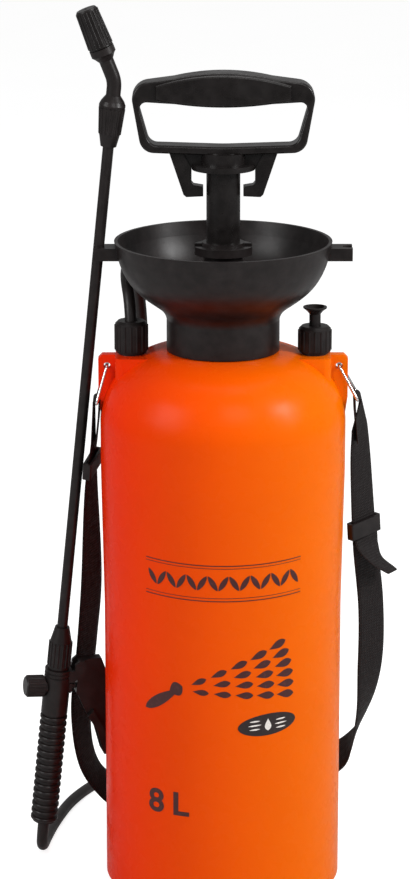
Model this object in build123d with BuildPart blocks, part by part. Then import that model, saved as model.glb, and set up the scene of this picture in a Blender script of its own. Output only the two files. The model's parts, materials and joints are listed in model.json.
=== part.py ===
"""Eight litre pump sprayer: tank, filling funnel, plunger pump, relief valve, hose, spray wand, strap.

Millimetres, +Z up, origin at the centre of the tank's base. The front faces -Y.
"""
from build123d import *
import math
import os

os.makedirs("parts", exist_ok=True)

# ---------------------------------------------------------------- driving dimensions
# tank
TANK_R = 90.7
SHOULDER_R = 92.8
WALL = 2.5
BODY_Z = 228
SHOULDER_Z = 336
DOME_Z = 372
DOME_TOP_Z = 426.5
DOME_TOP_R = 43
NECK_R = 37.5
NECK_BORE_R = 32.5
NECK_TOP_Z = 450
FOOT_R = 84
PAD_R = 14
# shoulders that carry the two fittings and the strap rings
WING_TOP_Z = 423.4
WING_X = 81
WING_HALF_Y = 20
LUG_X = 94
LUG_HALF_Y = 4
LUG_LOW_Z = 391
RING_HOLE_X = 87.4
RING_HOLE_Z = 414.8
RING_HOLE_R = 2.6
FITTING_X = 69
FITTING_HOLE_R = 7
# funnel
COLLAR_R = 42.5
COLLAR_BORE_R = 38
COLLAR_BOTTOM_Z = 427.2
FLOOR_Z = 452
FLOOR_TOP_Z = 456.5
FLOOR_HOLE_R = 31.3
RIM_R = 81.5
RIM_Z = 510
CLIP_X = 93.4
CLIP_R = 4.3
CLIP_TIP_X = 96.4
CLIP_LOW_Z = 496
CLIP_HIGH_Z = 505.5
CLIP_HALF_Y = 9.5
# pump
ROD_R = 12.6
ROD_BOTTOM_Z = 320
ROD_TOP_Z = 577
BARREL_R = 20
BARREL_BORE_R = 18.2
BARREL_BOTTOM_Z = 235
BASE_R = 35
BASE_Z = 458
BASE_TOP_Z = 463
WAIST_R = 14.8
FLANGE_R = 22.4
FLANGE_Z = 500.5
FLANGE_TOP_Z = 506.5
BUSH_TOP_Z = 509
RUNNING_FIT = 0.06
# handle
HUB_R = 23.5
HUB_Z = 564
HUB_TOP_Z = 568
HUB_BOSS_R = 16.5
BAR_Z = 575.5
HANDLE_HALF_Y = 10
CROWN_HALF_Y = 13.5
# fittings
NUT_R = 12.7
NUT_BORE_R = 11
NUT_BOTTOM_Z = 425
OUTLET_NUT_TOP_Z = 449
RELIEF_NUT_TOP_Z = 445
SEAT_Z = 430
GASKET_R = 9.6
STEM_R = 4.3
RELIEF_TOP_Z = 459.5
RELIEF_LIFT = 4
# strap
WEB_WIDTH = 25
WEB_THICK = 1.8
SLIDE_HEIGHT = 13
RING_WIRE_R = 1.25
# wand
CLIP_POINT = Vector(-CLIP_X, 0, 500.7)
GRIP_END = Vector(-141.6, 29.5, 36)
TUBE_R = 4.1
GRIP_LENGTH = 93.5
BODY_TOP = 131
SPIGOT_R = 7.3
NUT_LOW = 138
NUT_SHOULDER = 153.6
NUT_HIGH = 166
TOP_NUT_LOW = 550
TOP_NUT_HIGH = 579.5
ELBOW_KNEE = 599
ELBOW_TURN = 27
CROSS_L = 116
PIVOT_L = 135
PIVOT_U = 17
# hose
HOSE_R = 4.5


def washer(base, height, outer, inner):
    """Extrudes a ring from a base plane."""
    with BuildSketch(base) as ring:
        Circle(outer)
        Circle(inner, mode=Mode.SUBTRACT)
    extrude(ring.sketch, amount=height)


def disc(base, radius, height, mode=Mode.ADD):
    """Extrudes a round disc or bore from a base plane."""
    with BuildSketch(base) as face:
        Circle(radius)
    extrude(face.sketch, amount=height, mode=mode)


def ribs(base, count, radius, size, height):
    """Extrudes small round ribs that stand on a pitch circle."""
    with BuildSketch(base) as dots:
        with PolarLocations(radius, count):
            Circle(size)
    extrude(dots.sketch, amount=height)


def finish(part, name):
    """Names a piece and writes its STEP file."""
    part.label = name
    export_step(part, f"parts/{name}.step")


# ---------------------------------------------------------------- tank
def dome(radius, rise):
    """Quarter ellipse from the top of the wall to the foot of the neck."""
    EllipticalCenterArc((DOME_TOP_R, DOME_Z), radius - DOME_TOP_R, rise, start_angle=0, arc_size=90)


with BuildPart() as tank_body:
    with BuildSketch(Plane.XZ):
        with BuildLine():
            Polyline((0, 0), (PAD_R, 0), (PAD_R + 6, 6), (72, 6), (78, 0), (FOOT_R, 0), (TANK_R, 9), (TANK_R, BODY_Z),
                     (SHOULDER_R, SHOULDER_Z), (SHOULDER_R, DOME_Z))
            dome(SHOULDER_R, DOME_TOP_Z - DOME_Z)
            Polyline((DOME_TOP_R, DOME_TOP_Z), (NECK_R, DOME_TOP_Z), (NECK_R, NECK_TOP_Z), (0, NECK_TOP_Z), (0, 0))
        make_face()
    revolve(axis=Axis.Z)
    for side in (-1, 1):
        with BuildSketch(Plane.XY.offset(WING_TOP_Z)):
            with Locations((side * (WING_X + 50) / 2, 0)):
                RectangleRounded(WING_X - 50, 2 * WING_HALF_Y, 6)
        extrude(amount=-60)
        with BuildSketch(Plane.XZ.offset(-LUG_HALF_Y)):
            with BuildLine():
                Polyline((side * 60, WING_TOP_Z), (side * (LUG_X - 3), WING_TOP_Z), (side * LUG_X, WING_TOP_Z - 3),
                         (side * LUG_X, LUG_LOW_Z), (side * (SHOULDER_R - 2), 368), (side * 60, 368),
                         (side * 60, WING_TOP_Z))
            make_face()
        extrude(amount=2 * LUG_HALF_Y)
    with BuildSketch(Plane.XZ):
        with BuildLine():
            Polyline((0, WALL), (PAD_R - 1, WALL), (PAD_R + 5, 6 + WALL), (73, 6 + WALL), (79, WALL), (FOOT_R - 1, WALL), (TANK_R - WALL, 10),
                     (TANK_R - WALL, BODY_Z), (SHOULDER_R - WALL, SHOULDER_Z), (SHOULDER_R - WALL, DOME_Z))
            dome(SHOULDER_R - WALL, DOME_TOP_Z - WALL - DOME_Z)
            Polyline((DOME_TOP_R, DOME_TOP_Z - WALL), (NECK_BORE_R, DOME_TOP_Z - WALL),
                     (NECK_BORE_R, NECK_TOP_Z), (0, NECK_TOP_Z), (0, WALL))
        make_face()
    revolve(axis=Axis.Z, mode=Mode.SUBTRACT)
    for side in (-1, 1):
        with BuildSketch(Plane.XY.offset(WING_TOP_Z - WALL)):
            with Locations((side * (WING_X - WALL + 52) / 2, 0)):
                RectangleRounded(WING_X - WALL - 52, 2 * (WING_HALF_Y - WALL), 4)
        extrude(amount=-48, mode=Mode.SUBTRACT)
        with BuildSketch(Plane.XY.offset(WING_TOP_Z)):
            with Locations((side * FITTING_X, 0)):
                Circle(FITTING_HOLE_R)
        extrude(amount=-WALL, mode=Mode.SUBTRACT)
        with BuildSketch(Plane.XY.offset(WING_TOP_Z)):
            with Locations((side * FITTING_X, 0)):
                Circle(GASKET_R + 1.1)
        extrude(amount=5, mode=Mode.SUBTRACT)
        with BuildSketch(Plane.XZ.offset(-LUG_HALF_Y)):
            with Locations((side * RING_HOLE_X, RING_HOLE_Z)):
                Circle(RING_HOLE_R)
        extrude(amount=2 * LUG_HALF_Y, mode=Mode.SUBTRACT)
finish(tank_body.part, "tank_body")

# ---------------------------------------------------------------- funnel
FUNNEL_OUTER = [(COLLAR_R, 451), (45, 456.5), (52.5, 462.8), (68, 475.8), (75.3, 487.5), (79.2, 499)]
FUNNEL_INNER = [(76.6, 499.6), (72.9, 488.9), (66.1, 477.6), (51.2, 465), (44.2, 459.2)]
LUG_ROOT_X = 78

with BuildPart() as funnel:
    with BuildSketch(Plane.XZ):
        with BuildLine():
            Polyline((COLLAR_BORE_R, FLOOR_Z), (COLLAR_BORE_R, COLLAR_BOTTOM_Z), (COLLAR_R, COLLAR_BOTTOM_Z),
                     FUNNEL_OUTER[0])
            Spline(*FUNNEL_OUTER)
            Polyline(FUNNEL_OUTER[-1], (RIM_R, RIM_Z), (RIM_R - 2.6, RIM_Z), FUNNEL_INNER[0])
            Spline(*FUNNEL_INNER)
            Polyline(FUNNEL_INNER[-1], (41, FLOOR_TOP_Z), (FLOOR_HOLE_R, FLOOR_TOP_Z), (FLOOR_HOLE_R, FLOOR_Z),
                     (COLLAR_BORE_R, FLOOR_Z))
        make_face()
    revolve(axis=Axis.Z)
    for side in (-1, 1):
        with BuildSketch(Plane.XY.offset(CLIP_LOW_Z)):
            with Locations((side * (CLIP_TIP_X + LUG_ROOT_X) / 2, 0)):
                Rectangle(CLIP_TIP_X - LUG_ROOT_X, 2 * CLIP_HALF_Y)
            with Locations((side * CLIP_X, 0)):
                Circle(CLIP_R, mode=Mode.SUBTRACT)
            with Locations((side * (CLIP_X + 5), 0)):
                Rectangle(10, 6.6, mode=Mode.SUBTRACT)
        extrude(amount=CLIP_HIGH_Z - CLIP_LOW_Z)
    with BuildSketch(Plane(origin=GRIP_END, z_dir=CLIP_POINT - GRIP_END).offset(455)):
        Circle(CLIP_R)
    extrude(amount=40, mode=Mode.SUBTRACT)
finish(funnel.part, "funnel")

with BuildPart() as funnel_gasket:
    washer(Plane.XY.offset(NECK_TOP_Z), FLOOR_Z - NECK_TOP_Z, NECK_R, NECK_BORE_R + 0.5)
finish(funnel_gasket.part, "funnel_gasket")

# ---------------------------------------------------------------- outlet on the left shoulder
with BuildPart() as outlet_gasket:
    washer(Plane(origin=(-FITTING_X, 0, WING_TOP_Z)), 1.5, GASKET_R, 6.6)
finish(outlet_gasket.part, "outlet_gasket")

with BuildPart() as outlet_fitting:
    with BuildSketch(Plane(origin=(-FITTING_X, 0, WING_TOP_Z + 1.5))):
        Circle(10.5)
    extrude(amount=SEAT_Z - WING_TOP_Z - 1.5)
    with BuildSketch(Plane(origin=(-FITTING_X, 0, WING_TOP_Z + 1.5))):
        Circle(6.5)
    extrude(amount=-19)
    with BuildSketch(Plane(origin=(-FITTING_X, 0, WING_TOP_Z - 17.5))):
        Circle(3)
    extrude(amount=40, mode=Mode.SUBTRACT)
finish(outlet_fitting.part, "outlet_fitting")


def fitting_nut(x, top, hole):
    """Ribbed cap nut with a chamfered top, open below and bored for a hose or a stem."""
    base = Plane(origin=(x, 0, NUT_BOTTOM_Z))
    disc(base.offset(1.5), NUT_R - 0.6, top - NUT_BOTTOM_Z - 1.5)
    chamfer(faces().sort_by(Axis.Z)[-1].edges(), 2)
    ribs(base.offset(1.5), 16, NUT_R - 1, 1.1, top - NUT_BOTTOM_Z - 4.5)
    disc(base, NUT_R - 1.2, 1.5)
    disc(base, NUT_BORE_R - 0.2, top - NUT_BOTTOM_Z - 4, Mode.SUBTRACT)
    disc(base, hole, 60, Mode.SUBTRACT)


with BuildPart() as outlet_nut:
    fitting_nut(-FITTING_X, OUTLET_NUT_TOP_Z, HOSE_R + 0.3)
finish(outlet_nut.part, "outlet_nut")

with BuildPart() as dip_tube:
    washer(Plane(origin=(-FITTING_X, 0, 22)), WING_TOP_Z - 17.5 - 22, 4.5, 3)
finish(dip_tube.part, "dip_tube")

with BuildPart() as dip_strainer:
    with BuildSketch(Plane(origin=(-FITTING_X, 0, 13))):
        Circle(8)
    extrude(amount=25)
    with BuildSketch(Plane(origin=(-FITTING_X, 0, 15))):
        Circle(6.5)
    extrude(amount=7, mode=Mode.SUBTRACT)
    with BuildSketch(Plane(origin=(-FITTING_X, 0, 22))):
        Circle(4.55)
    extrude(amount=20, mode=Mode.SUBTRACT)
    with BuildSketch(Plane(origin=(-FITTING_X, 0, 10))):
        with PolarLocations(4, 6):
            Circle(0.9)
    extrude(amount=7, mode=Mode.SUBTRACT)
finish(dip_strainer.part, "dip_strainer")

# ---------------------------------------------------------------- relief valve on the right shoulder
with BuildPart() as relief_gasket:
    washer(Plane(origin=(FITTING_X, 0, WING_TOP_Z)), 1.5, GASKET_R, 6.6)
finish(relief_gasket.part, "relief_gasket")

RELIEF_SEAT_Z = 427

with BuildPart() as relief_body:
    with BuildSketch(Plane(origin=(FITTING_X, 0, WING_TOP_Z + 1.5))):
        Circle(10.5)
    extrude(amount=RELIEF_SEAT_Z - WING_TOP_Z - 1.5)
    with BuildSketch(Plane(origin=(FITTING_X, 0, WING_TOP_Z + 1.5))):
        Circle(6.5)
    extrude(amount=-14)
    with BuildSketch(Plane(origin=(FITTING_X, 0, 400))):
        Circle(3.2)
    extrude(amount=40, mode=Mode.SUBTRACT)
finish(relief_body.part, "relief_body")

with BuildPart() as relief_nut:
    fitting_nut(FITTING_X, RELIEF_NUT_TOP_Z, STEM_R + 0.3)
finish(relief_nut.part, "relief_nut")

with BuildPart() as relief_disc:
    washer(Plane(origin=(FITTING_X, 0, RELIEF_SEAT_Z)), 2, 6, 1.8)
finish(relief_disc.part, "relief_disc")

with BuildPart() as relief_stem:
    with BuildSketch(Plane.XZ):
        with BuildLine():
            Polyline((0, RELIEF_SEAT_Z), (1.75, RELIEF_SEAT_Z), (1.75, RELIEF_SEAT_Z + 2), (6.5, RELIEF_SEAT_Z + 2),
                     (6.5, RELIEF_SEAT_Z + 3.5), (2.8, RELIEF_SEAT_Z + 3.5), (2.8, RELIEF_NUT_TOP_Z - 4.2),
                     (STEM_R, RELIEF_NUT_TOP_Z - 4), (STEM_R, 454), (6, 456.2), (9, 458.6), (9, RELIEF_TOP_Z),
                     (7.8, RELIEF_TOP_Z), (5, 456.8), (0, 455.6), (0, RELIEF_SEAT_Z))
        make_face()
    revolve(axis=Axis.Z)
relief_stem.part.position = (FITTING_X, 0, 0)
finish(relief_stem.part, "relief_stem")

SPRING_WIRE_R = 0.45
SPRING_R = 4.8
SPRING_LOW_Z = RELIEF_SEAT_Z + 3.5 + SPRING_WIRE_R + 0.05
SPRING_HIGH_Z = RELIEF_NUT_TOP_Z - 4 - SPRING_WIRE_R - 0.05


def coil_spring(origin, axis, height, radius, wire, turns):
    """Sweeps round wire along a helix."""
    with BuildLine():
        coil = Helix(pitch=height / turns, height=height, radius=radius, center=origin, direction=axis)
    with BuildSketch(Plane(origin=coil @ 0, z_dir=coil % 0)) as section:
        Circle(wire)
    sweep(section.sketch, path=coil)


with BuildPart() as relief_spring:
    coil_spring((FITTING_X, 0, SPRING_LOW_Z), (0, 0, 1), SPRING_HIGH_Z - SPRING_LOW_Z, SPRING_R, SPRING_WIRE_R, 5)
finish(relief_spring.part, "relief_spring")

# ---------------------------------------------------------------- pump
with BuildPart() as pump_cap:
    with BuildSketch(Plane.XY.offset(BASE_Z)):
        Circle(BASE_R)
    extrude(amount=BASE_TOP_Z - BASE_Z)
    with BuildSketch(Plane.XY.offset(BASE_TOP_Z)):
        Circle(WAIST_R)
    extrude(amount=FLANGE_Z - BASE_TOP_Z)
    with BuildSketch(Plane.XY.offset(FLANGE_Z)):
        Circle(FLANGE_R)
        for side in (-1, 1):
            with Locations((side * (WAIST_R + 6), 0)):
                Rectangle(12, 13, mode=Mode.SUBTRACT)
    extrude(amount=FLANGE_TOP_Z - FLANGE_Z)
    with BuildSketch(Plane.XY.offset(BASE_TOP_Z)):
        with PolarLocations(24, 6, start_angle=30):
            Rectangle(18, 2)
    extrude(amount=9)
    with BuildSketch(Plane.XY.offset(BASE_Z)):
        Circle(ROD_R + 0.4)
    extrude(amount=60, mode=Mode.SUBTRACT)
finish(pump_cap.part, "pump_cap")

with BuildPart() as rod_bush:
    washer(Plane.XY.offset(FLANGE_TOP_Z), BUSH_TOP_Z - FLANGE_TOP_Z, WAIST_R + 1, ROD_R + RUNNING_FIT)
finish(rod_bush.part, "rod_bush")

with BuildPart() as barrel_gasket:
    washer(Plane.XY.offset(FLOOR_TOP_Z), BASE_Z - FLOOR_TOP_Z, BASE_R, FLOOR_HOLE_R)
finish(barrel_gasket.part, "barrel_gasket")

with BuildPart() as pump_barrel:
    with BuildSketch(Plane.XY.offset(BARREL_BOTTOM_Z)):
        Circle(BARREL_R)
    extrude(amount=BASE_Z - BARREL_BOTTOM_Z)
    with BuildSketch(Plane.XY.offset(BASE_Z - 3)):
        Circle(FLOOR_HOLE_R - 0.8)
    extrude(amount=3)
    with BuildSketch(Plane.XY.offset(BARREL_BOTTOM_Z + 3)):
        Circle(BARREL_BORE_R)
    extrude(amount=260, mode=Mode.SUBTRACT)
    with BuildSketch(Plane.XY.offset(BARREL_BOTTOM_Z)):
        Circle(2.3)
        with PolarLocations(8, 6):
            Circle(1.6)
    extrude(amount=5, mode=Mode.SUBTRACT)
finish(pump_barrel.part, "pump_barrel")

with BuildPart() as check_valve:
    with BuildSketch(Plane.XY.offset(BARREL_BOTTOM_Z - 2.5)):
        Circle(13)
    extrude(amount=2.5)
    with BuildSketch(Plane.XY.offset(BARREL_BOTTOM_Z)):
        Circle(2.25)
    extrude(amount=3)
    with BuildSketch(Plane.XY.offset(BARREL_BOTTOM_Z + 3)):
        Circle(3.4)
    extrude(amount=3)
finish(check_valve.part, "check_valve")

with BuildPart() as rod_seal:
    washer(Plane.XY.offset(BASE_Z - 4), 4, BARREL_BORE_R, ROD_R + RUNNING_FIT)
finish(rod_seal.part, "rod_seal")

with BuildPart() as pump_rod:
    with BuildSketch(Plane.XY.offset(ROD_BOTTOM_Z)):
        Circle(ROD_R)
    extrude(amount=ROD_TOP_Z - ROD_BOTTOM_Z)
    with BuildSketch(Plane.XY.offset(ROD_BOTTOM_Z)):
        Circle(2.5)
    extrude(amount=14, mode=Mode.SUBTRACT)
    with BuildSketch(Plane.YZ.offset(-ROD_R - 1)):
        with Locations((0, HUB_Z + 6)):
            Circle(2)
    extrude(amount=2 * ROD_R + 2, mode=Mode.SUBTRACT)
finish(pump_rod.part, "pump_rod")

PISTON_R = 17.6
CUP_LOW_Z = 308
CUP_HIGH_Z = 314

with BuildPart() as piston_head:
    with BuildSketch(Plane.XY.offset(304)):
        Circle(PISTON_R)
    extrude(amount=ROD_BOTTOM_Z - 304)
    with BuildSketch(Plane.XY.offset(CUP_LOW_Z)):
        Circle(PISTON_R + 1)
        Circle(14, mode=Mode.SUBTRACT)
    extrude(amount=CUP_HIGH_Z - CUP_LOW_Z, mode=Mode.SUBTRACT)
    with BuildSketch(Plane.XY.offset(300)):
        Circle(2.5 + RUNNING_FIT)
    extrude(amount=30, mode=Mode.SUBTRACT)
finish(piston_head.part, "piston_head")

with BuildPart() as piston_cup:
    washer(Plane.XY.offset(CUP_LOW_Z), CUP_HIGH_Z - CUP_LOW_Z, BARREL_BORE_R - 0.05, 14.05)
finish(piston_cup.part, "piston_cup")

with BuildPart() as piston_screw:
    with BuildSketch(Plane.XY.offset(304)):
        Circle(5)
    extrude(amount=-3.5)
    with BuildSketch(Plane.XY.offset(304)):
        Circle(2.5)
    extrude(amount=28)
    with BuildSketch(Plane.XY.offset(300.5)):
        Rectangle(7, 1.2)
        Rectangle(1.2, 7)
    extrude(amount=1.8, mode=Mode.SUBTRACT)
finish(piston_screw.part, "piston_screw")

# ---------------------------------------------------------------- handle
HANDLE_RIGHT = [(36, 632.5), (69.5, 628), (60.5, 577.5), (0, BAR_Z - 0.3)]
HANDLE_LEFT = [(-60.5, 577.5), (-69.5, 628), (-36, 632.5)]
WINDOW = [(-63.5, 615.2), (-54.5, 583.3), (0, 581.6), (54.5, 583.3), (63.5, 615.2), (0, 611.2)]


def rim_edges(part, half):
    """Edges that lie on the two flat faces at plus and minus half in Y."""
    return part.edges().filter_by(lambda edge: abs(abs(edge.center().Y) - half) < 0.01)


with BuildPart() as handle:
    with BuildSketch(Plane.XZ.offset(-HANDLE_HALF_Y)):
        with BuildLine():
            FilletPolyline(*HANDLE_RIGHT, *HANDLE_LEFT, radius=[13, 11, 150, 11, 13])
            ThreePointArc(HANDLE_LEFT[-1], (0, 636.6), HANDLE_RIGHT[0])
        make_face()
        with BuildLine():
            FilletPolyline(*WINDOW, radius=[5, 8, 150, 8, 5, 150], close=True)
        make_face(mode=Mode.SUBTRACT)
    extrude(amount=2 * HANDLE_HALF_Y)
    fillet(rim_edges(handle.part, HANDLE_HALF_Y), 1.8)
    with BuildSketch(Plane.XZ.offset(-CROWN_HALF_Y)):
        with BuildLine():
            ThreePointArc((-50, 616.5), (0, 611.4), (50, 616.5))
            Line((50, 616.5), (50, 627.5))
            ThreePointArc((50, 627.5), (0, 635.2), (-50, 627.5))
            Line((-50, 627.5), (-50, 616.5))
        make_face()
    extrude(amount=2 * CROWN_HALF_Y)
    fillet(rim_edges(handle.part, CROWN_HALF_Y), 2)
    with BuildSketch(Plane.XY.offset(HUB_Z)):
        Circle(HUB_R)
    extrude(amount=HUB_TOP_Z - HUB_Z)
    with BuildSketch(Plane.XY.offset(HUB_TOP_Z)):
        Circle(HUB_BOSS_R)
    extrude(amount=BAR_Z + 1 - HUB_TOP_Z)
    with BuildSketch(Plane.XZ.offset(-3)):
        with BuildLine():
            Polyline((-34, HUB_Z + 1), (34, HUB_Z + 1), (38, BAR_Z + 1), (-38, BAR_Z + 1), (-34, HUB_Z + 1))
        make_face()
    extrude(amount=6)
    for side in (-1, 1):
        with BuildSketch(Plane.XZ.offset(-5)):
            with BuildLine():
                Polyline((side * 30, BAR_Z + 1), (side * 40, BAR_Z + 1), (side * 29.6, 545.4), (side * 27.5, 543.6),
                         (side * 14.9, 544.2), (side * 14.9, 551.5), (side * 22, 552.7), (side * 23.6, 554.5),
                         (side * 23.6, 565), (side * 30, BAR_Z + 1))
            make_face()
        extrude(amount=10)
    with BuildSketch(Plane.XY.offset(HUB_Z - 1)):
        Circle(ROD_R + 0.02)
    extrude(amount=ROD_TOP_Z - HUB_Z + 1, mode=Mode.SUBTRACT)
    with BuildSketch(Plane.YZ.offset(-40)):
        with Locations((0, HUB_Z + 6)):
            Circle(2)
    extrude(amount=80, mode=Mode.SUBTRACT)
finish(handle.part, "handle")

with BuildPart() as handle_pin:
    with BuildSketch(Plane.YZ.offset(-22)):
        with Locations((0, HUB_Z + 6)):
            Circle(2)
    extrude(amount=44)
finish(handle_pin.part, "handle_pin")

# ---------------------------------------------------------------- strap rings, strap and sliders
def strap_ring(side, foot_x, foot_z):
    """Wire ring that hangs from the shoulder's hole and spreads to the width of the webbing."""
    top = Vector(side * RING_HOLE_X, 0, RING_HOLE_Z)
    foot = Vector(side * foot_x, 0, foot_z)
    middle = (top + foot) * 0.5
    across = Vector(0, 1, 0)
    with BuildLine():
        loop = FilletPolyline(middle + across * 13, foot + across * 14, foot - across * 14, top - across * 8,
                              top + across * 8, middle + across * 13.01, radius=2.6, close=False)
    with BuildSketch(Plane(origin=loop @ 0, z_dir=loop % 0)) as section:
        Circle(RING_WIRE_R)
    sweep(section.sketch, path=loop)


RING_FOOT = {-1: (95.4, 387), 1: (101.4, 390)}

with BuildPart() as strap_ring_left:
    strap_ring(-1, *RING_FOOT[-1])
finish(strap_ring_left.part, "strap_ring_left")

with BuildPart() as strap_ring_right:
    strap_ring(1, *RING_FOOT[1])
finish(strap_ring_right.part, "strap_ring_right")

# stations of the webbing from the right ring round the back to the left ring: middle, then width direction
STRAP = [((102.6, 0, 385.5), (0, 1, 0)), ((103.5, 2, 366), (0.5, 0.86, 0)), ((105, 6, 336), (0.65, 0.76, 0)),
         ((109, 12, 275), (0.75, 0.66, 0)), ((115, 20, 220), (0.8, 0.6, 0)), ((115.5, 26, 170), (0.8, 0.6, 0)),
         ((111, 36, 125), (0.5, 0.8, 0.3)), ((99, 58, 85), (0.1, 0.5, 0.87)), ((78, 84, 62), (0, 0.1, 1)),
         ((45, 105, 44), (0, 0, 1)), ((0, 109, 34), (0, 0, 1)), ((-45, 104, 32), (0, 0, 1)),
         ((-77, 88, 36), (0, 0.1, 1)), ((-96, 74, 50), (-0.1, 0.4, 0.9)), ((-109, 60, 80), (0.3, 0.6, 0.6)),
         ((-112, 52, 125), (0.6, 0.8, 0)), ((-106.5, 44, 180), (0.6, 0.8, 0)), ((-102, 30, 236), (0.6, 0.8, 0)),
         ((-101, 14, 315), (0.35, 0.93, 0)), ((-98.5, 4, 355), (0.1, 1, 0)), ((-96.6, 0, 382.5), (0, 1, 0))]


def webbing(stations):
    """Flat band lofted through its stations, span by span."""
    points = [Vector(*place) for place, width in stations]
    sections = []
    for index, (place, width) in enumerate(stations):
        before = points[max(index - 1, 0)]
        after = points[min(index + 1, len(points) - 1)]
        along = (after - before).normalized()
        across = Vector(*width)
        across = (across - along * across.dot(along)).normalized()
        with BuildSketch(Plane(origin=points[index], x_dir=across, z_dir=along)) as section:
            Rectangle(WEB_WIDTH, WEB_THICK)
        sections.append(section.sketch.face())
    for lower, upper in zip(sections, sections[1:]):
        loft([lower, upper], ruled=True)


with BuildPart() as shoulder_strap:
    webbing(STRAP)
finish(shoulder_strap.part, "shoulder_strap")


def strap_slide(stations, index, share):
    """Slide around the webbing, a share of the way from one of its stations to the next."""
    low = Vector(*stations[index][0])
    high = Vector(*stations[index + 1][0])
    along = (high - low).normalized()
    across = Vector(*stations[index][1]) * (1 - share) + Vector(*stations[index + 1][1]) * share
    across = (across - along * across.dot(along)).normalized()
    start = low + (high - low) * share - along * (SLIDE_HEIGHT / 2)
    with BuildSketch(Plane(origin=start, x_dir=across, z_dir=along)) as frame:
        RectangleRounded(WEB_WIDTH + 6, WEB_THICK + 5, 1.5)
        Rectangle(WEB_WIDTH + 1.6, WEB_THICK + 1.6, mode=Mode.SUBTRACT)
    extrude(frame.sketch, amount=SLIDE_HEIGHT)


with BuildPart() as strap_slide_right:
    strap_slide(STRAP, 2, 0.85)
finish(strap_slide_right.part, "strap_slide_right")

with BuildPart() as strap_slide_left:
    strap_slide(STRAP, 18, 0.5)
finish(strap_slide_left.part, "strap_slide_left")

# ---------------------------------------------------------------- wand
WAND_DIR = (CLIP_POINT - GRIP_END).normalized()
KNOB_SIDE = Vector(0.96, 0.28, 0)
WAND_X = (KNOB_SIDE - WAND_DIR * KNOB_SIDE.dot(WAND_DIR)).normalized()
WAND = Plane(origin=GRIP_END, x_dir=WAND_X, z_dir=WAND_DIR)
WAND_SECTION = Plane(origin=GRIP_END, x_dir=WAND_X, z_dir=WAND_X.cross(WAND_DIR))
WAND_AXIS = Axis(GRIP_END, WAND_DIR)
CROSS = Plane(origin=WAND.from_local_coords((0, 0, CROSS_L)), z_dir=WAND_X)


def wand_turned(*outline):
    """Revolves an outline of (radius, distance along the wand) points about the wand's axis."""
    with BuildSketch(WAND_SECTION) as half:
        with BuildLine():
            Polyline(*outline, outline[0])
        make_face()
    revolve(half.sketch, axis=WAND_AXIS)


with BuildPart() as lance_tube:
    washer(WAND.offset(BODY_TOP + 8), TOP_NUT_HIGH - BODY_TOP - 8 - 1, TUBE_R, 2.6)
finish(lance_tube.part, "lance_tube")

with BuildPart() as grip:
    with BuildSketch(WAND):
        Circle(9)
    extrude(amount=GRIP_LENGTH)
    for ring in range(16):
        low = 1.2 + ring * 5.8
        wand_turned((8, low), (8.9, low), (10.2, low + 0.5), (10.7, low + 1.2), (10.7, low + 2.6), (10.2, low + 3.3),
                    (8.9, low + 3.8), (8, low + 3.8))
    with BuildSketch(WAND):
        Circle(7)
    extrude(amount=GRIP_LENGTH, mode=Mode.SUBTRACT)
finish(grip.part, "grip")

with BuildPart() as valve_body:
    wand_turned((3, 0), (6.9, 0), (6.9, GRIP_LENGTH), (10.4, GRIP_LENGTH + 0.2), (10.4, 124.6), (9.7, 125), (9.7, 125.8),
                (10.4, 126.2), (10.4, 127.8), (9.7, 128.2), (9.7, 129), (10.4, 129.4), (10.4, BODY_TOP),
                (SPIGOT_R, BODY_TOP + 0.2), (SPIGOT_R, BODY_TOP + 7), (TUBE_R + 0.05, BODY_TOP + 7), (TUBE_R + 0.05, BODY_TOP + 1), (3, BODY_TOP + 1))
    with BuildSketch(CROSS.offset(-10.6)):
        Circle(6.2)
    extrude(amount=21.6)
    with BuildSketch(CROSS.offset(-5)):
        Circle(3.6)
    extrude(amount=32, mode=Mode.SUBTRACT)
    for low in (-7, 4.4):
        with BuildSketch(WAND_SECTION.offset(low)):
            with BuildLine():
                Polyline((7, 121), (12, 121), (PIVOT_U + 3, 129.5), (PIVOT_U + 4.2, PIVOT_L), (PIVOT_U + 2, 139),
                         (PIVOT_U - 2, 139), (12, 136), (11.6, 130.6), (7, 130.6), (7, 121))
            make_face()
            with Locations((PIVOT_U, PIVOT_L)):
                Circle(1.6, mode=Mode.SUBTRACT)
        extrude(amount=2.6)
finish(valve_body.part, "valve_body")

with BuildPart() as trigger_pin:
    with BuildSketch(WAND_SECTION.offset(-7)):
        with Locations((PIVOT_U, PIVOT_L)):
            Circle(1.57)
    extrude(amount=14)
finish(trigger_pin.part, "trigger_pin")

with BuildPart() as lever:
    with BuildSketch(WAND_SECTION.offset(-4)):
        with BuildLine():
            Polyline((15.4, 137), (15.4, 111), (18, 107.5), (26, 92), (35.2, 78), (42, 59.4), (44.5, 59.2),
                     (45.2, 75), (43.5, 118), (33, 140.5), (24, 140), (15.4, 137))
        make_face()
        with Locations((PIVOT_U, PIVOT_L)):
            Circle(1.63, mode=Mode.SUBTRACT)
    extrude(amount=8)
    with BuildSketch(WAND_SECTION.offset(-7.5)):
        with BuildLine():
            Polyline((26, 92), (35.2, 78), (42, 59.4), (44.5, 59.2), (45, 70), (38.5, 84), (30, 97), (26, 92))
        make_face()
    extrude(amount=15)
finish(lever.part, "lever")

with BuildPart() as valve_plunger:
    with BuildSketch(CROSS.offset(4.5)):
        Circle(2.2)
    extrude(amount=10.8)
    with BuildSketch(CROSS.offset(-0.5)):
        Circle(1.4)
    extrude(amount=5)
finish(valve_plunger.part, "valve_plunger")

with BuildPart() as plunger_seal:
    washer(CROSS.offset(8.5), 2, 3.6, 2.25)
finish(plunger_seal.part, "plunger_seal")

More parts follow.
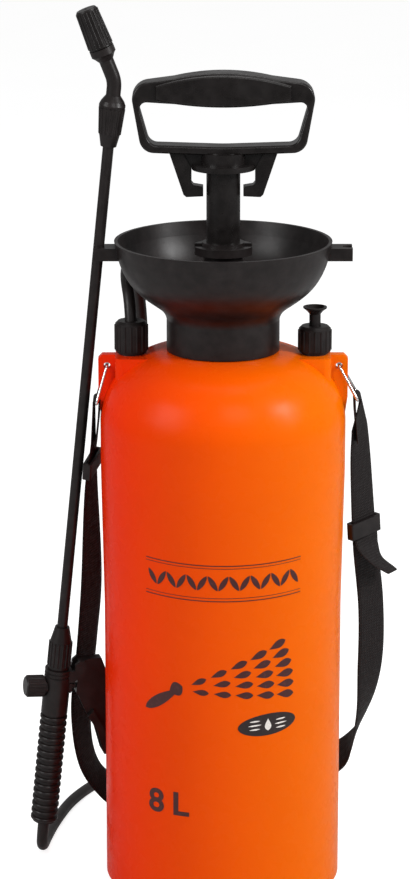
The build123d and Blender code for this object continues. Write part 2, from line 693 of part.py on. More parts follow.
with BuildPart() as valve_spring:
    coil_spring(WAND.from_local_coords((-2.5, 0, CROSS_L)), WAND_X, 3.4, 2.6, 0.35, 4)
finish(valve_spring.part, "valve_spring")

with BuildPart() as lock_knob:
    with BuildSketch(CROSS.offset(-10.9)):
        Circle(8.3)
        with PolarLocations(8.2, 26):
            Circle(0.5)
    extrude(amount=-13)
    with BuildSketch(CROSS.offset(-23.9)):
        Circle(8)
    extrude(amount=-1.6)
    chamfer(faces().sort_by(Axis.X)[0].edges(), 1)
finish(lock_knob.part, "lock_knob")


with BuildPart() as valve_top_nut:
    wand_turned((SPIGOT_R + 0.2, BODY_TOP + 0.6), (8.5, BODY_TOP + 0.6), (8.5, NUT_SHOULDER), (5.6, NUT_HIGH),
                (TUBE_R + 0.1, NUT_HIGH), (TUBE_R + 0.1, NUT_LOW + 1), (SPIGOT_R + 0.2, NUT_LOW + 1))
    with BuildSketch(WAND.offset(BODY_TOP + 3)):
        with PolarLocations(8.5, 16):
            Circle(0.85)
    extrude(amount=NUT_SHOULDER - BODY_TOP - 3)
finish(valve_top_nut.part, "valve_top_nut")

with BuildPart() as lance_seal:
    washer(WAND.offset(BODY_TOP + 7.05), 0.9, SPIGOT_R, TUBE_R + 0.05)
finish(lance_seal.part, "lance_seal")

def tapered_ribs(base, count, low_r, low, high_r, high, size):
    """Straight round ribs that lean with a cone, between two distances along its axis."""
    for index in range(count):
        angle = 2 * math.pi * index / count
        foot = base.from_local_coords((low_r * math.cos(angle), low_r * math.sin(angle), low))
        head = base.from_local_coords((high_r * math.cos(angle), high_r * math.sin(angle), high))
        with BuildSketch(Plane(origin=foot, z_dir=head - foot)) as rib:
            Circle(size)
        extrude(rib.sketch, amount=(head - foot).length)


with BuildPart() as lance_top_nut:
    wand_turned((TUBE_R + 0.1, TOP_NUT_LOW), (5.9, TOP_NUT_LOW), (7.7, TOP_NUT_LOW + 9), (9.3, TOP_NUT_HIGH),
                (6.4, TOP_NUT_HIGH), (6.4, TOP_NUT_HIGH - 8), (TUBE_R + 0.1, TOP_NUT_HIGH - 8))
    tapered_ribs(WAND, 16, 7.5, TOP_NUT_LOW + 9.4, 9, TOP_NUT_HIGH - 0.6, 0.95)
finish(lance_top_nut.part, "lance_top_nut")

# nozzle: a short bent pipe that ends in a fluted, adjustable cap
KNEE = WAND.from_local_coords((0, 0, ELBOW_KNEE))
BEND_SIDE = Vector(-1, 0, 0)
BEND_SIDE = (BEND_SIDE - WAND_DIR * BEND_SIDE.dot(WAND_DIR)).normalized()
TURN = math.radians(ELBOW_TURN)
NOZZLE_DIR = WAND_DIR * math.cos(TURN) + BEND_SIDE * math.sin(TURN)
NOZZLE = Plane(origin=KNEE, x_dir=WAND_X.cross(NOZZLE_DIR), z_dir=NOZZLE_DIR)
NOZZLE_SECTION = Plane(origin=KNEE, x_dir=NOZZLE.x_dir, z_dir=NOZZLE.x_dir.cross(NOZZLE_DIR))
NOZZLE_AXIS = Axis(KNEE, NOZZLE_DIR)
PIPE_R = 5.4
CAP_LOW = 27
CAP_HIGH = 57


def nozzle_turned(*outline):
    """Revolves an outline of (radius, distance past the knee) points about the nozzle's axis."""
    with BuildSketch(NOZZLE_SECTION) as half:
        with BuildLine():
            Polyline(*outline, outline[0])
        make_face()
    revolve(half.sketch, axis=NOZZLE_AXIS)


with BuildPart() as nozzle_elbow:
    wand_turned((0, TOP_NUT_HIGH + 0.3), (9.8, TOP_NUT_HIGH + 0.3), (9.8, TOP_NUT_HIGH + 1.8), (8.6, TOP_NUT_HIGH + 4.6),
                (PIPE_R, TOP_NUT_HIGH + 9), (0, TOP_NUT_HIGH + 9))
    with BuildLine():
        pipe_path = FilletPolyline(WAND.from_local_coords((0, 0, TOP_NUT_HIGH + 8)), KNEE, KNEE + NOZZLE_DIR * 16,
                                   radius=22)
    with BuildSketch(Plane(origin=pipe_path @ 0, z_dir=WAND_DIR)):
        Circle(PIPE_R)
    sweep(path=pipe_path)
    nozzle_turned((0, 15), (PIPE_R, 15), (PIPE_R, 16.5), (7.8, 20), (9.3, 21.5), (9.3, CAP_LOW - 0.6), (0, CAP_LOW - 0.6))
    nozzle_turned((0, CAP_LOW - 1), (4.4, CAP_LOW - 1), (4.4, 44), (3, 45), (1.6, 45), (1.6, 46), (0, 46))
    wand_turned((0, TOP_NUT_HIGH - 7), (6.3, TOP_NUT_HIGH - 7), (6.3, TOP_NUT_HIGH + 1), (0, TOP_NUT_HIGH + 1))
    with BuildSketch(WAND.offset(TOP_NUT_HIGH - 8)):
        Circle(TUBE_R + 0.05)
    extrude(amount=7, mode=Mode.SUBTRACT)
finish(nozzle_elbow.part, "nozzle_elbow")

with BuildPart() as elbow_seal:
    washer(WAND.offset(TOP_NUT_HIGH + 0.02), 0.26, 8.4, 6.5)
finish(elbow_seal.part, "elbow_seal")

with BuildPart() as nozzle_cap:
    nozzle_turned((4.6, CAP_LOW), (9.1, CAP_LOW), (9.1, CAP_LOW + 1.5), (7.9, CAP_HIGH - 1), (7.2, CAP_HIGH),
                  (1.2, CAP_HIGH), (1.2, CAP_HIGH - 3), (4.6, CAP_HIGH - 5))
    tapered_ribs(NOZZLE, 18, 8.8, CAP_LOW + 1, 7.75, CAP_HIGH - 1.6, 0.8)
finish(nozzle_cap.part, "nozzle_cap")

# ---------------------------------------------------------------- hose
HOSE_ROUTE = [
    (-69, 0, 430), (-69, 0, 458), (-74, 22, 480.5), (-71.5, 54, 481.5), (-65, 79, 459), (-62, 84, 420),
    (-63, 98, 346), (-65, 99, 262), (-62, 104, 176), (-58, 112, 106), (-46, 126, 50), (-14, 140, 13),
    (28, 144, 4.7), (68, 156, 4.6), (96, 190, 4.6), (92, 232, 4.7), (54, 262, 4.6), (0, 262, 4.7),
    (-52, 244, 4.6), (-96, 206, 4.7), (-124, 156, 4.6), (-137, 100, 4.7), (-142.5, 64, 4.6),
    (-143.6, 46, 6.6), (-143.54, 30.69, 17.14), (-141.6, 29.5, 36)]


def route_radii(points):
    """Largest arc at each corner: 0.45 of the shorter run over the tangent of half the turn."""
    radii = []
    for before, corner, after in zip(points, points[1:], points[2:]):
        run_in = corner - before
        run_out = after - corner
        turn = math.radians(run_in.get_angle(run_out))
        radii.append(0.45 * min(run_in.length, run_out.length) / math.tan(turn / 2))
    return radii


hose_points = [Vector(*point) for point in HOSE_ROUTE]
hose_radii = route_radii(hose_points)

with BuildPart() as hose:
    with BuildLine():
        hose_path = FilletPolyline(*hose_points, radius=hose_radii)
    with BuildSketch(Plane(origin=hose_path @ 0, z_dir=hose_path % 0)):
        Circle(HOSE_R)
    sweep(path=hose_path)
finish(hose.part, "hose")

hose_length = hose_path.wire().length
print("hose radii", [round(radius) for radius in hose_radii])
print("hose length", round(hose_length), "volume ratio", hose.part.volume / (math.pi * HOSE_R ** 2 * hose_length))
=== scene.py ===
"""Looks of the pump sprayer: materials, hose, webbing strap, prints, lights and camera. Metres, +Z up."""
import bmesh
import bpy
import json
import math
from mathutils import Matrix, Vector


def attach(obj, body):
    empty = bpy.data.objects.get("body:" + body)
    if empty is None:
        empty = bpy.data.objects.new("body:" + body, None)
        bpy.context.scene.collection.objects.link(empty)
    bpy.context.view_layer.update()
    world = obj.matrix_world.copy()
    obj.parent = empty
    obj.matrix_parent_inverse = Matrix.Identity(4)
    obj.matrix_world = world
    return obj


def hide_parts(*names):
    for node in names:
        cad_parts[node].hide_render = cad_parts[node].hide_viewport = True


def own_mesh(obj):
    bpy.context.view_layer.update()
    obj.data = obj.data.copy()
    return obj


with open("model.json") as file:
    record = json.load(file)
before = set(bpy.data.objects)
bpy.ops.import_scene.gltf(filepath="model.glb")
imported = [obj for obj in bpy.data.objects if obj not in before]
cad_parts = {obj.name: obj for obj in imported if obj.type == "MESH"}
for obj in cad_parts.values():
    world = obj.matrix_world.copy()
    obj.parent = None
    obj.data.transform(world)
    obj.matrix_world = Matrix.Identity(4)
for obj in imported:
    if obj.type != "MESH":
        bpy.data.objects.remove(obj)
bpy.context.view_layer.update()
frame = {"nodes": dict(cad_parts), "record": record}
NODES = frame["nodes"]
SLOTS = {row["node"]: row["material_slot"] for row in frame["record"]["subparts"]}
MM = 0.001
# Blender's wave texture repeats every 0.314 units at a scale of one
WAVE_PERIOD = 0.314
WEFT_PER_METRE = 450
WARP_PER_METRE = 620
# half the width over which painted light turns the tank's orange from shaded red at -X to lit yellow at +X
SIDE_LIGHT_HALF_X = 0.095

# ---------------------------------------------------------------- camera
CAMERA_PLACE = (-0.0136, -2.282, 0.966)
CAMERA_DOWN = math.radians(14.96)
camera_data = bpy.data.cameras.new("camera")
camera_data.sensor_fit = "VERTICAL"
camera_data.sensor_height = 36
camera_data.lens = 127.5
camera = bpy.data.objects.new("camera", camera_data)
camera.location = CAMERA_PLACE
camera.rotation_euler = (math.pi / 2 - CAMERA_DOWN, 0, 0)
bpy.context.scene.collection.objects.link(camera)
bpy.context.scene.camera = camera
bpy.context.scene.view_settings.view_transform = "Standard"


# ---------------------------------------------------------------- material helpers
class Shader:
    """A principled material with short calls for the node chains used here."""

    def __init__(self, name, color, roughness, **inputs):
        self.material = bpy.data.materials.new(name)
        self.material.use_nodes = True
        self.tree = self.material.node_tree
        self.bsdf = self.tree.nodes["Principled BSDF"]
        self.bsdf.inputs["Base Color"].default_value = (*color, 1)
        self.bsdf.inputs["Roughness"].default_value = roughness
        for key, value in inputs.items():
            self.bsdf.inputs[key.replace("_", " ")].default_value = value
        self.coords = self.tree.nodes.new("ShaderNodeTexCoord")

    def node(self, kind, **settings):
        made = self.tree.nodes.new(kind)
        for key, value in settings.items():
            if key in made.inputs:
                made.inputs[key].default_value = value
            else:
                setattr(made, key, value)
        return made

    def link(self, source, target):
        self.tree.links.new(source, target)

    def noise(self, scale, detail=3, stretch=(1, 1, 1)):
        mapping = self.node("ShaderNodeMapping")
        mapping.inputs["Scale"].default_value = stretch
        self.link(self.coords.outputs["Object"], mapping.inputs["Vector"])
        texture = self.node("ShaderNodeTexNoise", Scale=scale, Detail=detail)
        self.link(mapping.outputs["Vector"], texture.inputs["Vector"])
        return texture.outputs["Fac"]

    def spread(self, source, low, high, start=0.3, end=0.7):
        """Maps a value onto a range."""
        made = self.node("ShaderNodeMapRange")
        made.inputs["From Min"].default_value = start
        made.inputs["From Max"].default_value = end
        made.inputs["To Min"].default_value = low
        made.inputs["To Max"].default_value = high
        self.link(source, made.inputs["Value"])
        return made.outputs["Result"]

    def blend_colors(self, source, first, second, start=0.0, end=1.0):
        ramp = self.node("ShaderNodeValToRGB")
        ramp.color_ramp.elements[0].position = start
        ramp.color_ramp.elements[0].color = (*first, 1)
        ramp.color_ramp.elements[1].position = end
        ramp.color_ramp.elements[1].color = (*second, 1)
        self.link(source, ramp.inputs["Fac"])
        return ramp.outputs["Color"]

    def multiply_colors(self, first, second):
        made = self.node("ShaderNodeVectorMath", operation="MULTIPLY")
        self.link(first, made.inputs[0])
        self.link(second, made.inputs[1])
        return made.outputs["Vector"]

    def bump(self, source, strength, distance, previous=None):
        made = self.node("ShaderNodeBump")
        made.inputs["Strength"].default_value = strength
        made.inputs["Distance"].default_value = distance
        self.link(source, made.inputs["Height"])
        if previous is not None:
            self.link(previous, made.inputs["Normal"])
        self.link(made.outputs["Normal"], self.bsdf.inputs["Normal"])
        return made.outputs["Normal"]

    def roughness(self, source, low, high):
        self.link(self.spread(source, low, high), self.bsdf.inputs["Roughness"])

    def color(self, source):
        self.link(source, self.bsdf.inputs["Base Color"])


def tank_plastic():
    """Glossy blow-moulded polyethylene, wavy and finely grained, with painted light: a shaded redder side at
    -X and a lit yellower side at +X.
    """
    look = Shader("tank_orange", (0.86, 0.075, 0.004), 0.26, Subsurface_Weight=0.08, Subsurface_Scale=0.01,
                  Specular_IOR_Level=0.07)
    look.bsdf.inputs["Subsurface Radius"].default_value = (1.0, 0.25, 0.05)
    axes = look.node("ShaderNodeSeparateXYZ")
    look.link(look.coords.outputs["Object"], axes.inputs["Vector"])
    across = look.spread(axes.outputs["X"], 0, 1, -SIDE_LIGHT_HALF_X, SIDE_LIGHT_HALF_X)
    # painted light: the base colour runs from shaded red at -X to lit yellow at +X across the tank
    painted_side_light = look.blend_colors(across, (0.84, 0.026, 0.001), (0.86, 0.155, 0.0003), 0.05, 0.98)
    clouds = look.blend_colors(look.spread(look.noise(9, 2), 0, 1), (0.95, 0.93, 0.93), (1, 1, 1))
    look.color(look.multiply_colors(painted_side_light, clouds))
    wavy = look.bump(look.noise(26, 2), 0.10, 0.0006)
    look.bump(look.noise(1500, 4), 0.05, 0.0001, wavy)
    look.roughness(look.noise(60, 4), 0.22, 0.33)
    return look.material


def black_plastic(name, tone, smooth, rough, grain, grain_strength):
    """Moulded polypropylene, black or pale, with moulding haze, fine grain and rubbed patches."""
    look = Shader(name, tone, smooth, Specular_IOR_Level=0.26)
    patches = look.noise(45, 5)
    look.roughness(patches, smooth, rough)
    dusty = tuple(min(value * 1.9 + 0.004, value * 1.08 + 0.02) for value in tone)
    look.color(look.blend_colors(look.noise(120, 6), tone, dusty, 0.35, 0.85))
    first = look.bump(look.noise(grain, 3), grain_strength, 0.00015)
    look.bump(look.noise(70, 2), 0.06, 0.0005, first)
    return look.material


def rubber(name, tone):
    """Flexible hose rubber: satin, with long faint extrusion streaks."""
    look = Shader(name, tone, 0.38, Specular_IOR_Level=0.3)
    look.roughness(look.noise(90, 4), 0.3, 0.5)
    look.color(look.blend_colors(look.noise(60, 5), tone, tuple(value * 2 for value in tone), 0.3, 0.9))
    look.bump(look.noise(700, 3, (1, 1, 0.15)), 0.12, 0.0001)
    return look.material


def metal(name, tone, smooth, rough, streak):
    """Plated or drawn wire, with fine streaks and a little tarnish."""
    look = Shader(name, tone, smooth, Metallic=1.0)
    look.roughness(look.noise(140, 5), smooth, rough)
    look.color(look.blend_colors(look.noise(55, 4), tuple(value * 0.7 for value in tone), tone, 0.3, 0.6))
    look.bump(look.noise(900, 2, streak), 0.08, 0.00008)
    return look.material


def webbing_cloth():
    """Woven polypropylene webbing: weft ribs crossed by warp threads, laid out by the band's UVs."""
    look = Shader("webbing", (0.008, 0.006, 0.006), 0.62, Specular_IOR_Level=0.25)
    weft = look.node("ShaderNodeTexWave", wave_type="BANDS", bands_direction="Y",
                     Scale=WAVE_PERIOD * WEFT_PER_METRE, Distortion=0.4)
    warp = look.node("ShaderNodeTexWave", wave_type="BANDS", bands_direction="X",
                     Scale=WAVE_PERIOD * WARP_PER_METRE, Distortion=0.4)
    for wave in (weft, warp):
        wave.inputs["Detail"].default_value = 1
        look.link(look.coords.outputs["UV"], wave.inputs["Vector"])
    weave = look.node("ShaderNodeMath", operation="MULTIPLY")
    look.link(weft.outputs["Fac"], weave.inputs[0])
    look.link(warp.outputs["Fac"], weave.inputs[1])
    look.color(look.blend_colors(weave.outputs[0], (0.005, 0.003, 0.003), (0.016, 0.011, 0.011)))
    first = look.bump(weave.outputs[0], 0.8, 0.0005)
    look.bump(look.noise(2500, 3), 0.3, 0.0001, first)
    look.roughness(look.noise(300, 4), 0.5, 0.75)
    return look.material


def print_ink(name, tone):
    """Screen-printed ink, slightly worn."""
    look = Shader(name, tone, 0.35)
    worn = tuple(value * 1.5 + 0.01 for value in tone)
    look.color(look.blend_colors(look.noise(400, 5), worn, tone, 0.25, 0.45))
    look.roughness(look.noise(500, 3), 0.28, 0.45)
    look.bump(look.noise(1800, 3), 0.1, 0.00005)
    return look.material


MATERIALS = {
    "tank_orange": tank_plastic(),
    "black_plastic": black_plastic("black_plastic", (0.0085, 0.0062, 0.006), 0.3, 0.44, 1100, 0.25),
    "black_gloss": black_plastic("black_gloss", (0.0065, 0.0052, 0.005), 0.2, 0.34, 1500, 0.12),
    "rubber_black": rubber("rubber_black", (0.014, 0.013, 0.013)),
    "hose_black": rubber("hose_black", (0.011, 0.0085, 0.0082)),
    "webbing": webbing_cloth(),
    "wire_chrome": metal("wire_chrome", (0.86, 0.84, 0.83), 0.08, 0.18, (1, 1, 1)),
    "spring_steel": metal("spring_steel", (0.6, 0.6, 0.61), 0.22, 0.35, (1, 1, 8)),
    "inner_plastic": black_plastic("inner_plastic", (0.52, 0.5, 0.45), 0.4, 0.5, 900, 0.1),
    "clear_tube": black_plastic("clear_tube", (0.6, 0.6, 0.55), 0.3, 0.42, 900, 0.1),
}
INK = print_ink("print_ink", (0.045, 0.004, 0.004))
BADGE = print_ink("badge_ink", (0.012, 0.004, 0.004))
PALE = print_ink("badge_pale", (0.75, 0.7, 0.66))

for node_name, node_object in NODES.items():
    paint = MATERIALS[SLOTS[node_name]]
    if node_object.material_slots:
        for place in node_object.material_slots:
            place.material = paint


# ---------------------------------------------------------------- mesh helpers
def mesh_object(name, vertices, faces, material, body, smooth=True, uvs=None):
    """Makes a mesh piece that rides on a body."""
    mesh = bpy.data.meshes.new(name)
    mesh.from_pydata([tuple(v) for v in vertices], [], faces)
    mesh.update()
    if uvs is not None:
        layer = mesh.uv_layers.new(name="band")
        for loop in mesh.loops:
            layer.data[loop.index].uv = uvs[loop.vertex_index]
    for polygon in mesh.polygons:
        polygon.use_smooth = smooth
    mesh.materials.append(material)
    made = bpy.data.objects.new(name, mesh)
    bpy.context.scene.collection.objects.link(made)
    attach(made, body)
    return made


def smooth_points(points, steps):
    """Catmull-Rom curve through points, as vectors of any length."""
    padded = [points[0] * 2 - points[1], *points, points[-1] * 2 - points[-2]]
    line = []
    for before, first, second, after in zip(padded, padded[1:], padded[2:], padded[3:]):
        for step in range(steps):
            t = step / steps
            line.append(0.5 * (2 * first + (second - before) * t
                               + (2 * before - 5 * first + 4 * second - after) * t * t
                               + (3 * first - before - 3 * second + after) * t ** 3))
    line.append(points[-1].copy())
    return line


# ---------------------------------------------------------------- hose
HOSE_ROUTE = [
    (-69, 0, 430), (-69, 0, 458), (-74, 22, 480.5), (-71.5, 54, 481.5), (-65, 79, 459), (-62, 84, 420),
    (-63, 98, 346), (-65, 99, 262), (-62, 104, 176), (-58, 112, 106), (-46, 126, 50), (-14, 140, 13),
    (28, 144, 4.7), (68, 156, 4.6), (96, 190, 4.6), (92, 232, 4.7), (54, 262, 4.6), (0, 262, 4.7),
    (-52, 244, 4.6), (-96, 206, 4.7), (-124, 156, 4.6), (-137, 100, 4.7), (-142.5, 64, 4.6),
    (-143.6, 46, 6.6), (-143.54, 30.69, 17.14), (-141.6, 29.5, 36)]
HOSE_DIAMETER = 0.009

hose_curve = bpy.data.curves.new("hose_line", "CURVE")
hose_curve.dimensions = "3D"
hose_curve.resolution_u = 12
hose_curve.bevel_depth = HOSE_DIAMETER / 2
hose_curve.bevel_resolution = 6
spline = hose_curve.splines.new("NURBS")
spline.points.add(len(HOSE_ROUTE) - 1)
for control, place in zip(spline.points, HOSE_ROUTE):
    control.co = (place[0] * MM, place[1] * MM, place[2] * MM, 1)
spline.order_u = 3
spline.use_endpoint_u = True
hose_curve.materials.append(MATERIALS["hose_black"])
hose = bpy.data.objects.new("hose_tube", hose_curve)
bpy.context.scene.collection.objects.link(hose)
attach(hose, "tank")
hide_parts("hose")

# ---------------------------------------------------------------- shoulder strap
STRAP = [
    ((102.6, 0, 385.5), (0, 1, 0)), ((103.5, 2, 366), (0.5, 0.86, 0)),
    ((105, 6, 336), (0.65, 0.76, 0)), ((109, 12, 275), (0.75, 0.66, 0)),
    ((115, 20, 220), (0.8, 0.6, 0)), ((115.5, 26, 170), (0.8, 0.6, 0)),
    ((111, 36, 125), (0.5, 0.8, 0.3)), ((99, 58, 85), (0.1, 0.5, 0.87)),
    ((78, 84, 62), (0, 0.1, 1)), ((45, 105, 44), (0, 0, 1)),
    ((0, 109, 34), (0, 0, 1)), ((-45, 104, 32), (0, 0, 1)),
    ((-77, 88, 36), (0, 0.1, 1)), ((-96, 74, 50), (-0.1, 0.4, 0.9)),
    ((-109, 60, 80), (0.3, 0.6, 0.6)), ((-112, 52, 125), (0.6, 0.8, 0)),
    ((-106.5, 44, 180), (0.6, 0.8, 0)), ((-102, 30, 236), (0.6, 0.8, 0)),
    ((-101, 14, 315), (0.35, 0.93, 0)), ((-98.5, 4, 355), (0.1, 1, 0)),
    ((-96.6, 0, 382.5), (0, 1, 0))]
WEB_WIDTH = 0.025
WEB_THICK = 0.0015
RIGHT_FOOT = Vector((101.4, 0, 390)) * MM
LEFT_FOOT = Vector((-95.4, 0, 387)) * MM
STEPS_PER_SPAN = 10
EDGE_POINTS = 8

# how the webbing doubles back over the lower bar of a ring
TURN_RADIUS = 0.0022
TURN_STEPS = 6


def ribbon(name, centres, widths, width, thick, material):
    """A closed band of webbing along a line, with softly rounded edges and UVs in metres."""
    profile = []
    for part in range(EDGE_POINTS + 1):
        share = part / EDGE_POINTS * 2 - 1
        profile.append((share * width / 2, thick / 2 * math.sqrt(max(0.06, 1 - share ** 8))))
    ring = profile + [(x, -y) for x, y in reversed(profile)]
    vertices, faces, uvs = [], [], []
    travelled = 0
    for index, centre in enumerate(centres):
        before = centres[max(index - 1, 0)]
        after = centres[min(index + 1, len(centres) - 1)]
        along = (after - before).normalized()
        across = (widths[index] - along * widths[index].dot(along)).normalized()
        out = along.cross(across)
        if index:
            travelled += (centre - centres[index - 1]).length
        for x, y in ring:
            vertices.append(centre + across * x + out * y)
            uvs.append((x, travelled))
    size = len(ring)
    for row in range(len(centres) - 1):
        here, there = row * size, (row + 1) * size
        for step in range(size):
            other = (step + 1) % size
            faces.append((here + step, here + other, there + other, there + step))
    faces.append(tuple(range(size)))
    faces.append(tuple(reversed(range((len(centres) - 1) * size, len(centres) * size))))
    return mesh_object(name, vertices, faces, material, "tank", uvs=uvs), travelled


def ring_loop(foot, side, top):
    """Stations of the webbing's doubled end, up its inner face and over the ring's lower bar."""
    down = (Vector(top) - foot).normalized()
    inner = Vector((-side, 0, 0))
    stations = [foot + down * 0.034 + inner * 0.0024, foot + down * 0.012 + inner * 0.0026]
    for step in range(TURN_STEPS + 1):
        angle = math.pi * step / TURN_STEPS
        stations.append(foot + inner * TURN_RADIUS * math.cos(angle) - down * TURN_RADIUS * math.sin(angle))
    return stations


def build_strap():
    """The whole band, from the doubled end at the right ring round the back to the one at the left ring."""
    places = [Vector(place) * MM for place, width in STRAP]
    widths = [Vector(width).normalized() for place, width in STRAP]
    across = Vector((0, 1, 0))
    start = ring_loop(RIGHT_FOOT, 1, places[1])
    finish = ring_loop(LEFT_FOOT, -1, places[-2])[::-1]
    line = smooth_points(places[1:-1], STEPS_PER_SPAN)
    turns = [width.normalized() for width in smooth_points(widths[1:-1], STEPS_PER_SPAN)]
    centres = start + line + finish
    across_all = [across] * len(start) + turns + [across] * len(finish)
    return ribbon("shoulder_webbing", centres, across_all, WEB_WIDTH, WEB_THICK, MATERIALS["webbing"])


def strap_tail():
    """Loose end of the band, which springs away from it below the right-hand slide."""
    stations = [((110.1, 10.5, 277), (0.73, 0.68, 0)), ((112.3, 10.1, 268), (0.64, 0.77, 0)),
                ((118.5, 6.5, 258.5), (0.31, 0.95, 0)), ((130.5, 1.0, 251), (0.1, 0.995, 0))]
    centres = smooth_points([Vector(place) * MM for place, width in stations], STEPS_PER_SPAN)
    widths = smooth_points([Vector(width) for place, width in stations], STEPS_PER_SPAN)
    return ribbon("strap_tail", centres, widths, WEB_WIDTH, WEB_THICK, MATERIALS["webbing"])[0]


webbing, webbing_length = build_strap()
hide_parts("shoulder_strap")
strap_tail()

# ---------------------------------------------------------------- relief spring
# a copy of the CAD spring, which rides on the tank in place of the CAD node
spring = bpy.data.objects.new("relief_coil", NODES["relief_spring"].data.copy())
bpy.context.scene.collection.objects.link(spring)
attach(spring, "tank")
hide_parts("relief_spring")
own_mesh(spring)

# ---------------------------------------------------------------- prints on the tank
TANK_R = 0.0907
SHOULDER_R = 0.0928
BODY_Z = 0.228
SHOULDER_Z = 0.336
PRINT_LIFT = 0.00018
MARK_LIFT = 0.00030
BAND_HALF = 0.062
BAND_SAG = 0.0018
LEAVES = 15
LEAF_SPACING = 0.0080
SPRAY_RINGS = 5


def on_tank(x, z, lift=PRINT_LIFT):
    """Point on the tank's front at a distance x round it from the middle."""
    share = min(max((z - BODY_Z) / (SHOULDER_Z - BODY_Z), 0), 1)
    radius = TANK_R + (SHOULDER_R - TANK_R) * share + lift
    angle = x / radius
    return Vector((radius * math.sin(angle), -radius * math.cos(angle), z))


def strip(vertices, faces, low, high, lift=PRINT_LIFT):
    """Adds a print strip between two lines of (x, z) points."""
    base = len(vertices)
    for bottom, top in zip(low, high):
        vertices.append(on_tank(*bottom, lift))
        vertices.append(on_tank(*top, lift))
    for index in range(len(low) - 1):
        a = base + 2 * index
        faces.append((a, a + 2, a + 3, a + 1))


def arched_line(vertices, faces, half, z, rise, thick, count=40):
    low, high = [], []
    for step in range(count + 1):
        x = half * (2 * step / count - 1)
        height = z + rise * (1 - (x / half) ** 2)
        low.append((x, height))
        high.append((x, height + thick))
    strip(vertices, faces, low, high)


def blob(vertices, faces, centre, length, width, angle, tail=1.0, lift=PRINT_LIFT, count=14):
    """A leaf or droplet: pointed at the tail, round at the head."""
    low, high = [], []
    for step in range(count + 1):
        share = step / count
        half = width / 2 * math.sin(math.pi * share ** tail) ** 0.75 if 0 < share < 1 else 0
        x = (share - 0.5) * length
        for side, line in ((-1, low), (1, high)):
            line.append((centre[0] + x * math.cos(angle) - side * half * math.sin(angle),
                         centre[1] + x * math.sin(angle) + side * half * math.cos(angle)))
    strip(vertices, faces, low, high, lift)


def band_print():
    """Leaves in a row between arched double lines."""
    vertices, faces = [], []
    for z, thick in ((0.2855, 0.0007), (0.2835, 0.0004), (0.2605, 0.0004), (0.2580, 0.0007)):
        arched_line(vertices, faces, BAND_HALF, z, -BAND_SAG, thick)
    for index in range(LEAVES):
        x = (index - LEAVES // 2) * LEAF_SPACING
        z = 0.2722 - BAND_SAG * (1 - (x / BAND_HALF) ** 2)
        lean = math.radians(58 if index % 2 else 122)
        blob(vertices, faces, (x, z), 0.0135, 0.0042, lean)
    return mesh_object("print_band", vertices, faces, INK, "tank")


def spray_print():
    """A fan of droplets thrown from a bent nozzle, in place of the large lettering."""
    vertices, faces = [], []
    mouth = (-0.034, 0.186)
    blob(vertices, faces, (-0.049, 0.176), 0.034, 0.0085, math.radians(33), 0.8)
    blob(vertices, faces, (-0.0365, 0.1855), 0.012, 0.011, math.radians(28), 1.3)
    for ring_index in range(SPRAY_RINGS):
        reach = 0.017 + ring_index * 0.0165
        count = 2 + ring_index
        for item in range(count):
            spread = math.radians(-14 + 28 * (item / (count - 1)) + 10)
            place = (mouth[0] + reach * math.cos(spread), mouth[1] + reach * math.sin(spread))
            length, width = 0.0125 + 0.0006 * ring_index, 0.0046 + 0.0004 * ring_index
            blob(vertices, faces, place, length, width, spread, 1.5)
    return mesh_object("print_spray", vertices, faces, INK, "tank")


def oval_print():
    """A plain dark oval with a pale droplet between two dashes."""
    vertices, faces = [], []
    low, high = [], []
    half_x, half_z, centre, steps = 0.0235, 0.0085, (0.0345, 0.158), 32
    for step in range(steps + 1):
        x = half_x * math.cos(math.pi * (1 - step / steps))
        rise = half_z * math.sqrt(max(0, 1 - (x / half_x) ** 2))
        tilt = x * 0.06
        low.append((centre[0] + x, centre[1] + tilt - rise))
        high.append((centre[0] + x, centre[1] + tilt + rise))
    strip(vertices, faces, low, high)
    badge = mesh_object("print_oval", vertices, faces, BADGE, "tank")
    vertices, faces = [], []
    blob(vertices, faces, centre, 0.0095, 0.0052, math.radians(-90), 1.5, MARK_LIFT)
    for side in (-1, 1):
        for row in (-1, 0, 1):
            dash = (centre[0] + side * 0.0105, centre[1] + row * 0.0032)
            blob(vertices, faces, dash, 0.0105 - 0.002 * abs(row), 0.0012, 0.06, 1.0, MARK_LIFT)
    mark = mesh_object("print_oval_mark", vertices, faces, PALE, "tank")
    return badge, mark


def capacity_print():
    """The capacity, eight litres, in plain figures wrapped round the tank."""
    text = bpy.data.curves.new("capacity_text", "FONT")
    text.body = "8 L"
    text.size = 0.0255
    text.offset = 0.0006
    text.space_character = 0.95
    holder = bpy.data.objects.new("capacity_holder", text)
    bpy.context.scene.collection.objects.link(holder)
    bpy.context.view_layer.update()
    flat = bpy.data.meshes.new_from_object(holder)
    bpy.data.objects.remove(holder)
    grid = bmesh.new()
    grid.from_mesh(flat)
    bmesh.ops.triangulate(grid, faces=grid.faces)
    for _ in range(2):
        bmesh.ops.subdivide_edges(grid, edges=grid.edges, cuts=1, use_grid_fill=True)
    vertices = [on_tank(-0.0605 + vertex.co.x * 1.1, 0.0855 + vertex.co.y) for vertex in grid.verts]
    grid.verts.index_update()
    faces = [tuple(vertex.index for vertex in face.verts) for face in grid.faces]
    grid.free()
    return mesh_object("print_capacity", vertices, faces, INK, "tank")


band_print()
spray_print()
oval_print()
capacity_print()

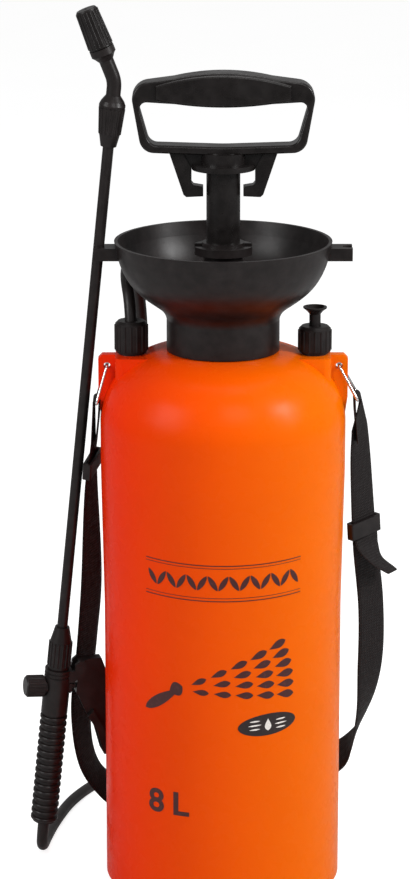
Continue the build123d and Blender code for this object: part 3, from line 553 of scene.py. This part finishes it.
# ---------------------------------------------------------------- floor, world and lights
# the floor and the world are white to the camera and dimmer to the object, so that the blacks stay black
FLOOR_HALF = 9
FLOOR_GLOW = 0.8
WORLD_LIGHT = 0.32
floor_mesh = bpy.data.meshes.new("floor")
corners = [(x * FLOOR_HALF, y * FLOOR_HALF, 0) for x, y in ((-1, -1), (1, -1), (1, 1), (-1, 1))]
floor_mesh.from_pydata(corners, [], [(0, 1, 2, 3)])
floor = bpy.data.objects.new("floor", floor_mesh)
bpy.context.scene.collection.objects.link(floor)
floor_look = Shader("floor", (0.5, 0.5, 0.5), 0.8, Specular_IOR_Level=0.1)
floor_look.color(floor_look.blend_colors(floor_look.noise(3, 3), (0.48, 0.48, 0.48), (0.52, 0.52, 0.52)))
floor_look.bsdf.inputs["Emission Color"].default_value = (1, 1, 1, 1)
seen = floor_look.node("ShaderNodeLightPath")
glow = floor_look.node("ShaderNodeMath", operation="MULTIPLY")
glow.inputs[1].default_value = FLOOR_GLOW
floor_look.link(seen.outputs["Is Camera Ray"], glow.inputs[0])
floor_look.link(glow.outputs[0], floor_look.bsdf.inputs["Emission Strength"])
floor_mesh.materials.append(floor_look.material)

world = bpy.data.worlds.new("studio")
world.use_nodes = True
world.node_tree.nodes["Background"].inputs["Color"].default_value = (1, 1, 1, 1)
camera_ray = world.node_tree.nodes.new("ShaderNodeLightPath")
world_strength = world.node_tree.nodes.new("ShaderNodeMath")
world_strength.operation = "MULTIPLY_ADD"
world_strength.inputs[1].default_value = 1 - WORLD_LIGHT
world_strength.inputs[2].default_value = WORLD_LIGHT
world.node_tree.links.new(camera_ray.outputs["Is Camera Ray"], world_strength.inputs[0])
world.node_tree.links.new(world_strength.outputs[0], world.node_tree.nodes["Background"].inputs["Strength"])
bpy.context.scene.world = world


def softbox(name, place, target, size, power, tone=(1, 1, 1)):
    """A rectangular area light that looks at a point."""
    data = bpy.data.lights.new(name, "AREA")
    data.shape = "RECTANGLE"
    data.size, data.size_y = size
    data.energy = power
    data.color = tone
    lamp = bpy.data.objects.new(name, data)
    lamp.location = place
    lamp.rotation_euler = (Vector(target) - Vector(place)).to_track_quat("-Z", "Y").to_euler()
    bpy.context.scene.collection.objects.link(lamp)
    return lamp


softbox("key_right", (1.83, -0.81, 1.6), (0, 0, 0.35), (0.5, 0.5), 32)
softbox("low_right", (1.7, -0.75, 1.0), (0, 0, 0.3), (0.35, 0.35), 5)
softbox("key_front", (0.5, -1.9, 1.9), (0, 0, 0.35), (0.9, 0.9), 12)
softbox("key_left", (-1.7, -1.1, 1.3), (0, 0, 0.3), (1.1, 1.1), 24)
softbox("top", (0.1, 0.2, 2.2), (0, 0, 0.4), (1.2, 1.2), 16)
